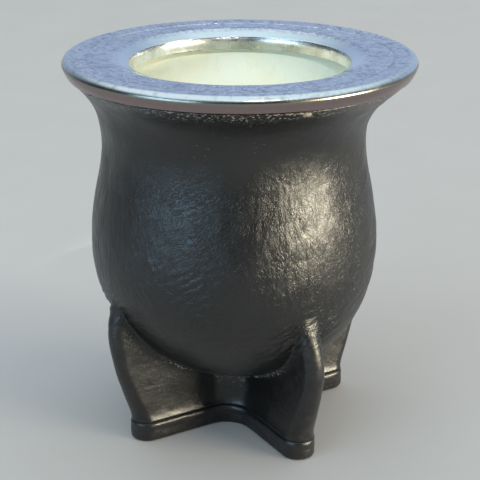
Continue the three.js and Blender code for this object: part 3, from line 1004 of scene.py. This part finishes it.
def cross_sole():
    half = leg_half(COVER_BOTTOM_Z)
    section = sole_section()
    rings = [cross_ring(z, FOOT_REACH + m, half + m, HUB_RADIUS + m, SOLE_SECTOR_STEPS) for m, z in section]
    grid = np.array(rings)
    rows, columns = grid.shape[:2]
    u, v = np.meshgrid(lengths(grid[rows // 2]), lengths(section))
    z = grid[..., 2]
    side = bell(z, SOLE_TOP_Z / 2, SOLE_SIDE_HEIGHT)
    waves = SOLE_WAVE * hide_noise(u, v, SOLE_WAVE_SIZE, seed=21)
    height = side * (waves + SOLE_RIPPLE * hide_noise(u, v, SOLE_RIPPLE_SIZE, seed=22))
    height -= SOLE_LINE_DEPTH * side * bell(z, SOLE_LINE_Z, SOLE_LINE_WIDTH)
    grid = grid + height[..., None] * grid_normals(grid)
    vertices = np.r_[grid.reshape(-1, 3), [(0, 0, 0), (0, 0, SOLE_TOP_Z)]]
    bottom = len(vertices) - 2
    faces = grid_faces(rows, columns) + fan(bottom, 0, columns, False)
    faces += fan(bottom + 1, bottom - columns, columns, True)
    piece = mesh_object("sole_cross", vertices, faces, np.r_[np.c_[u.ravel(), v.ravel()], [(0, 0), (0, 0)]])
    wear = TREAD_WEAR * (1 - smoothstep(z, *TREAD_EDGE)) + SIDE_WEAR * side
    paint(piece, "wear", np.r_[wear.ravel(), UNDERSIDE_WEAR])
    return dress(piece, sole_leather, "sole_leather", "cross_sole")


cross_sole()


# Metal collar

COLLAR_SEGMENTS = 240
COLLAR_WAVE = 0.04
COLLAR_WAVES = 6
COLLAR_WAVE_START = 20
COLLAR_WAVE_WIDTH = 9


def hammered(grid, amount, seed):
    """Hand-worked metal is never quite true: its surface waves a little."""
    turn = np.arctan2(grid[..., 1], grid[..., 0])
    radius = np.hypot(grid[..., 0], grid[..., 1])
    grid = grid.copy()
    drift = radius / COLLAR_WAVE_WIDTH
    grid[..., 2] += amount * ring_noise(turn, drift, COLLAR_WAVES, COLLAR_WAVE_START, seed)
    return grid


def collar_piece(name, section, material, amount, seed, node):
    grid = hammered(lathe(np.r_[section, section[:1]], COLLAR_SEGMENTS), amount, seed)
    rows = len(section)
    faces = grid_faces(rows + 1, COLLAR_SEGMENTS)
    faces = [tuple(k % (rows * COLLAR_SEGMENTS) for k in face) for face in faces]
    piece = mesh_object(name, grid[:-1].reshape(-1, 3), faces)
    return dress(piece, material, "collar_metal", node)


LIP_ROUND = 0.8
LIP_EASE = 0.3
LIP_POINTS = 20
LIP_UNDERSIDE_POINTS = 10
PLATE_RINGS = 12


def lip_roll(depth, count):
    """The plate's inner edge: a slope that rounds into the throat, at a depth below the upper face."""
    slope = (PLATE_Z - LIP_Z - LIP_ROUND / 2) / (LIP_RADIUS - MOUTH_RADIUS - LIP_ROUND)
    straight_end = (MOUTH_RADIUS + LIP_ROUND, LIP_Z + LIP_ROUND / 2)
    rounding = bezier([
        straight_end,
        (MOUTH_RADIUS + LIP_ROUND / 2, LIP_Z + LIP_ROUND / 2 * (1 - slope)),
        (MOUTH_RADIUS, LIP_Z + LIP_ROUND / 4),
        (MOUTH_RADIUS, LIP_Z),
    ], count)
    slope_start = [(LIP_RADIUS, PLATE_Z), (LIP_RADIUS - LIP_EASE, PLATE_Z - LIP_EASE * slope)]
    line = np.r_[slope_start, rounding]
    return line - depth * outward(line)


def top_plate():
    flat = np.c_[np.linspace(PLATE_RADIUS, LIP_RADIUS, PLATE_RINGS), np.full(PLATE_RINGS, PLATE_Z)]
    underside = lip_roll(SHEET, LIP_UNDERSIDE_POINTS)[::-1]
    section = np.r_[[(PLATE_RADIUS, PLATE_Z - SHEET)], flat, lip_roll(0, LIP_POINTS)[1:], underside]
    return collar_piece("collar_plate", section, plate_metal, COLLAR_WAVE, 31, "collar_top_plate")


BAND_SWELL = 0.12
BAND_RINGS = 8
CREST_POINTS = 14
HOLLOW_POINTS = 8
FEATHER = 4.5
FEATHER_PULL = (0.4, 0.6)
FEATHER_EDGE = 0.02
FEATHER_SINK = 0.05


def rim_band():
    """Up the outside, over the crest, inward to a thin edge on the plate, and back under the fold."""
    share = np.linspace(0, 1, BAND_RINGS)
    side = np.c_[
        np.linspace(BAND_EDGE_RADIUS, RIM_RADIUS, BAND_RINGS),
        np.linspace(BAND_EDGE_Z, CREST_Z, BAND_RINGS),
    ]
    side[1:-1, 0] += BAND_SWELL * np.sin(math.pi * share)[1:-1]
    fold = np.array([RIM_RADIUS - FOLD_RADIUS, RIM_Z - CREST_Z])
    crest = arc((FOLD_RADIUS, CREST_Z), fold, 0, 90, CREST_POINTS)
    hollow = arc((FOLD_RADIUS, CREST_Z), fold - SHEET, 90, 0, HOLLOW_POINTS)
    feather_end = FOLD_RADIUS - FEATHER
    feather = bezier([
        (FOLD_RADIUS, RIM_Z),
        (FOLD_RADIUS - FEATHER_PULL[0] * FEATHER, RIM_Z),
        (FOLD_RADIUS - FEATHER_PULL[1] * FEATHER, PLATE_Z + 2 * FEATHER_EDGE),
        (feather_end, PLATE_Z + FEATHER_EDGE),
    ], BAND_RINGS)
    inner_foot = [(BAND_EDGE_RADIUS - SHEET, BAND_EDGE_Z)]
    underside = [(feather_end, PLATE_Z - FEATHER_SINK)]
    section = np.r_[inner_foot, side, crest[1:], feather[1:], underside, hollow]
    return collar_piece("collar_band", section, band_metal, COLLAR_WAVE, 32, "collar_rim_band")


SLEEVE_BEAD = 0.35
SLEEVE_RINGS = 14
SLEEVE_FOOT = 0.3
SLEEVE_FOOT_POINTS = 6


def throat():
    """The sleeve starts under the plate's rolled edge and swells in a soft bead."""
    foot_z = THROAT_BOTTOM_Z + SLEEVE_FOOT
    wall = np.c_[np.full(SLEEVE_RINGS, MOUTH_RADIUS), np.linspace(THROAT_TOP_Z, foot_z, SLEEVE_RINGS)]
    share = np.linspace(0, 1, SLEEVE_RINGS)
    wall[:, 0] += SLEEVE_BEAD * (1 - np.sin(share * math.pi)) * (1 - share)
    foot_centre = (MOUTH_RADIUS + SHEET / 2, foot_z)
    foot = arc(foot_centre, (SHEET / 2, SLEEVE_FOOT), 180, 360, SLEEVE_FOOT_POINTS)
    section = np.r_[[(MOUTH_RADIUS + SHEET, THROAT_TOP_Z)], wall, foot[1:]]
    return collar_piece("collar_sleeve", section, sleeve_metal, 0.0, 33, "collar_throat")


top_plate()
rim_band()
throat()


# Gourd

GOURD_SEGMENTS = 180
GOURD_OUTER_STEP = 3.0
GOURD_INNER_STEP = 1.0
WIDENING_POINTS = 30
RIB_HEIGHT = 0.30
RIB_LENGTH = 40
RIB_WAVES = 4
RIB_START = 9
PIT_DEPTH = 0.10
PIT_SIZE = (3.0, 3.5)
RELIEF_BELOW_THROAT = (0.5, 6.0)
RELIEF_CORE = 4


def gourd():
    outside = evenly(cut_level(inset(body_line(), LEATHER + FIT), BODY_TOP_Z)[1:], GOURD_OUTER_STEP)
    bowl = cut_level(inset(body_line(), LEATHER + FIT + GOURD_WALL), NECK_Z)
    bore = MOUTH_RADIUS + SHEET + FIT
    bore_foot = (bore, THROAT_BOTTOM_Z - 2 * FIT)
    neck = bowl[-1]
    middle = (neck[1] + bore_foot[1]) / 2
    widening = bezier([neck, (neck[0], middle), (bore, middle), bore_foot], WIDENING_POINTS)
    inside = evenly(np.r_[bowl, widening[1:], [(bore, BODY_TOP_Z)]][1:][::-1], GOURD_INNER_STEP)
    grid = lathe(np.r_[outside, inside], GOURD_SEGMENTS)
    turn = np.arctan2(grid[..., 1], grid[..., 0])
    radius = np.hypot(grid[..., 0], grid[..., 1])
    z = grid[..., 2]
    inner = np.r_[np.zeros(len(outside)), np.ones(len(inside))]
    below = smoothstep(THROAT_BOTTOM_Z - z, *RELIEF_BELOW_THROAT) * inner[:, None]
    ribs = RIB_HEIGHT * ring_noise(turn, z / RIB_LENGTH, RIB_WAVES, RIB_START, seed=41)
    pits = PIT_DEPTH * noise(turn * radius / PIT_SIZE[0], z / PIT_SIZE[1], seed=42)
    grid[..., :2] *= (1 + below * (ribs + pits) / np.maximum(radius, RELIEF_CORE))[..., None]
    grid = leaned(grid)
    vertices = np.r_[grid.reshape(-1, 3), [(0, 0, outside[0, 1]), (0, 0, inside[-1, 1])]]
    low = len(vertices) - 2
    faces = grid_faces(len(grid), GOURD_SEGMENTS) + fan(low, 0, GOURD_SEGMENTS, False)
    faces += fan(low + 1, low - GOURD_SEGMENTS, GOURD_SEGMENTS, True)
    piece = mesh_object("gourd_wall", vertices, faces)
    return dress(piece, dried_gourd, "gourd", "gourd_shell")


gourd()


# Glue that was pressed out under the collar and has set in drops

# Of each drop: its angle, how far below the band it lies, and half its width and height
GLUE_DROPS = [
    (304.7, 0.9, 1.3, 0.75),
    (302.2, 0.5, 0.9, 0.25),
    (298.5, 0.4, 1.2, 0.20),
    (294.6, 0.35, 0.9, 0.18),
    (262.0, 0.4, 0.8, 0.25),
    (236.5, 0.4, 1.0, 0.30),
    (228.0, 0.5, 0.7, 0.30),
]
GLUE_DEPTH = 0.45
GLUE_UNEVEN = 0.35
GLUE_LUMPS = 1.4
GLUE_RINGS = 12
GLUE_SIDES = 24


def glue_drops():
    """Flat uneven drops that sit on the leather below the band."""
    line = body_line()
    line = line[line[:, 1] > NECK_Z]
    ball = lathe(arc((0, 0), (1, 1), -89, 89, GLUE_RINGS), GLUE_SIDES)
    vertices = []
    faces = []
    for angle, drop, half_width, half_height in GLUE_DROPS:
        turn = math.radians(angle)
        z = BAND_EDGE_Z - drop
        radius = np.interp(z, line[:, 1], line[:, 0])
        across = ball[..., 0] * GLUE_LUMPS + angle
        upward = ball[..., 2] * GLUE_LUMPS + ball[..., 1]
        swell = 1 + GLUE_UNEVEN * noise(across, upward, seed=51)
        local = ball * swell[..., None] * (half_width, GLUE_DEPTH, half_height)
        out = np.array([math.cos(turn), math.sin(turn), 0])
        side = np.array([-math.sin(turn), math.cos(turn), 0])
        middle = out * radius + (0, 0, z)
        points = middle + local @ np.array([side, out, (0, 0, 1)])
        first = len(vertices)
        vertices += points.reshape(-1, 3).tolist()
        faces += [tuple(first + k for k in face) for face in grid_faces(GLUE_RINGS, GLUE_SIDES)]
        faces.append(tuple(first + k for k in range(GLUE_SIDES))[::-1])
        faces.append(tuple(first + (GLUE_RINGS - 1) * GLUE_SIDES + k for k in range(GLUE_SIDES)))
    return dress(mesh_object("glue_drops", vertices, faces), set_glue, "bedding")


glue_drops()


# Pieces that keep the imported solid's shape
for name, node in nodes.items():
    if name.startswith("leg_core") or name in ("base_block", "collar_bedding"):
        node.data.materials.clear()
        node.data.materials.append(resin if name == "collar_bedding" else raw_leather)


# Floor, light and camera

FLOOR_HALF = 6000
FLOOR_TONES = [(0.68, 0.63, 0.59), (0.70, 0.65, 0.61)]


def floor():
    half = FLOOR_HALF
    corners = [(-half, -half, 0), (half, -half, 0), (half, half, 0), (-half, half, 0)]
    piece = mesh_object("floor", corners, [(0, 1, 2, 3)], smooth=False)
    material, tree, shader = new_material("floor")
    place = position(tree)
    cloudy = noise_node(tree, place, 0.02, 3.0)
    pale = ramp(tree, cloudy, [(0.3, FLOOR_TONES[0]), (0.7, FLOOR_TONES[1])])
    connect(tree, shader, Base_Color=pale, Roughness=0.9, Specular_IOR_Level=0.1)
    piece.data.materials.append(material)


def place_lamp(lamp, aim, azimuth, elevation, distance):
    """Puts a lamp in a direction and at a distance from the point that it faces."""
    made = bpy.data.objects.new(lamp.name, lamp)
    bpy.context.scene.collection.objects.link(made)
    turn = math.radians(azimuth)
    rise = math.radians(elevation)
    made.location = (
        aim[0] + distance * math.cos(rise) * math.cos(turn),
        aim[1] + distance * math.cos(rise) * math.sin(turn),
        aim[2] + distance * math.sin(rise),
    )
    made.rotation_euler = Euler((math.pi / 2 - rise, 0, turn + math.pi / 2))
    made.visible_camera = False
    return made


def softbox(name, azimuth, elevation, distance, size, colour, power):
    """A lamp of a width and height that faces the cup's middle from a direction and a distance."""
    lamp = bpy.data.lights.new(name, "AREA")
    lamp.shape = "RECTANGLE"
    lamp.size, lamp.size_y = size
    lamp.color = colour
    lamp.energy = power
    return place_lamp(lamp, (cad_box[0] + cad_box[1]) / 2, azimuth, elevation, distance)


SNOOT_RADIUS = 0.015
SNOOT_BLEND = 0.3
SNOOT_WIDTH = 2.2


def snoot(azimuth, elevation, distance, colour, power):
    """A narrow lamp, a little wider than the mouth, that lights the inside of the cup."""
    lamp = bpy.data.lights.new("snoot", "SPOT")
    lamp.color = colour
    lamp.energy = power
    lamp.shadow_soft_size = SNOOT_RADIUS
    lamp.spot_size = SNOOT_WIDTH * math.atan2(MOUTH_RADIUS * MM, distance)
    lamp.spot_blend = SNOOT_BLEND
    return place_lamp(lamp, (0, 0, RIM_Z * MM), azimuth, elevation, distance)


# The sky's colours, each with how far back it is reached, and the colour overhead
SKY_TONES = [(0.0, (0.06, 0.065, 0.08)), (0.5, (0.20, 0.24, 0.31)), (0.95, (0.42, 0.52, 0.70))]
SKY_ABOVE = (0.86, 1.0, 1.08)


def sky():
    """Dim in front, blue-grey behind and bright overhead."""
    world = bpy.data.worlds.new("studio")
    bpy.context.scene.world = world
    world.use_nodes = True
    tree = world.node_tree
    direction = add(tree, "TexCoord").outputs["Generated"]
    parts = add(tree, "SeparateXYZ", {"Vector": direction}).outputs
    around = ramp(tree, parts["Y"], SKY_TONES)
    above = ramp(tree, parts["Z"], [(0.45, 0.0), (0.75, 1.0)])
    colour = mix(tree, above, around, SKY_ABOVE)
    background = tree.nodes["Background"]
    tree.links.new(colour, background.inputs["Color"])
    background.inputs["Strength"].default_value = 1.0


# The view fitted to the photograph: focal length in its pixels, place in metres, and turn and tilt
FOCAL_PIXELS = 1296.2
SENSOR_WIDTH = 36.0
VIEW_PLACE = (0.08216, -0.33451, 0.18439)
VIEW_TURN = math.radians(13.8)
VIEW_TILT = 0.363


def camera():
    lens = bpy.data.cameras.new("camera")
    lens.sensor_width = SENSOR_WIDTH
    lens.lens = FOCAL_PIXELS / PHOTO_SIZE * SENSOR_WIDTH
    made = bpy.data.objects.new("camera", lens)
    bpy.context.scene.collection.objects.link(made)
    made.location = VIEW_PLACE
    made.rotation_euler = Euler((math.pi / 2 - VIEW_TILT, 0, VIEW_TURN))
    bpy.context.scene.camera = made


floor()
WARM = (1.0, 0.90, 0.68)
COOL = (0.50, 0.77, 1.0)
NEARLY_WHITE = (1.0, 0.97, 0.92)
softbox("key", azimuth=350, elevation=4.5, distance=4.0, size=(2.1, 0.65), colour=WARM, power=250)
softbox("fill", azimuth=238, elevation=12, distance=1.2, size=(0.8, 0.5), colour=COOL, power=5)
snoot(azimuth=300, elevation=48, distance=0.8, colour=NEARLY_WHITE, power=17)
sky()
camera()
bpy.context.scene.view_settings.view_transform = "Standard"
